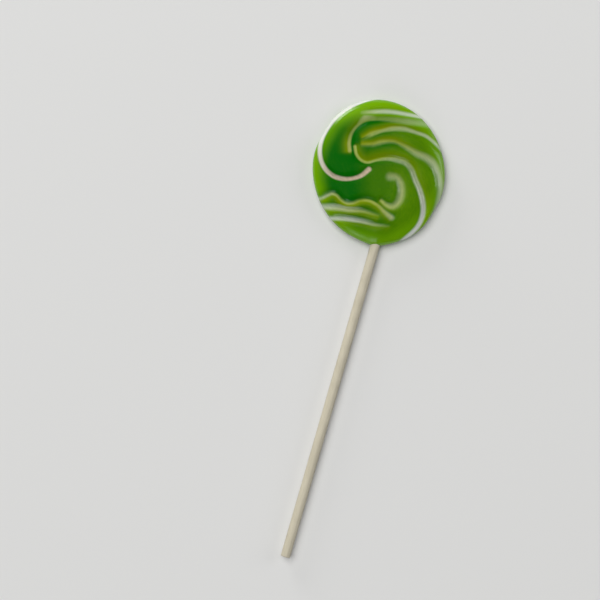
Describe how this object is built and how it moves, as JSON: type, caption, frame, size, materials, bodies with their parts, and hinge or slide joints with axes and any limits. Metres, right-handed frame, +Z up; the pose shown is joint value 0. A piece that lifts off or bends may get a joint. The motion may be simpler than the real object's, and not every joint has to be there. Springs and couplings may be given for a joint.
{
  "type": "swirl lollipop",
  "caption": "Flat green hard-candy lollipop with thin white stripes wound into a double swirl, on a straight white paper stick.",
  "frame": {"origin": "middle of the candy head, on its flat back, which lies on the floor", "axes": "+Z up through the shown side, +Y from the stick's free end towards the head, +X to the right of the shown side"},
  "size_m": [0.0436, 0.152, 0.0065],
  "materials": {
    "candy": "glossy hard candy, green with white stripes",
    "stick_paper": "matt rolled paper, warm white"
  },
  "bodies": {
    "root": {"candy_head": "candy", "paper_stick": "stick_paper"}
  },
  "joints": []
}
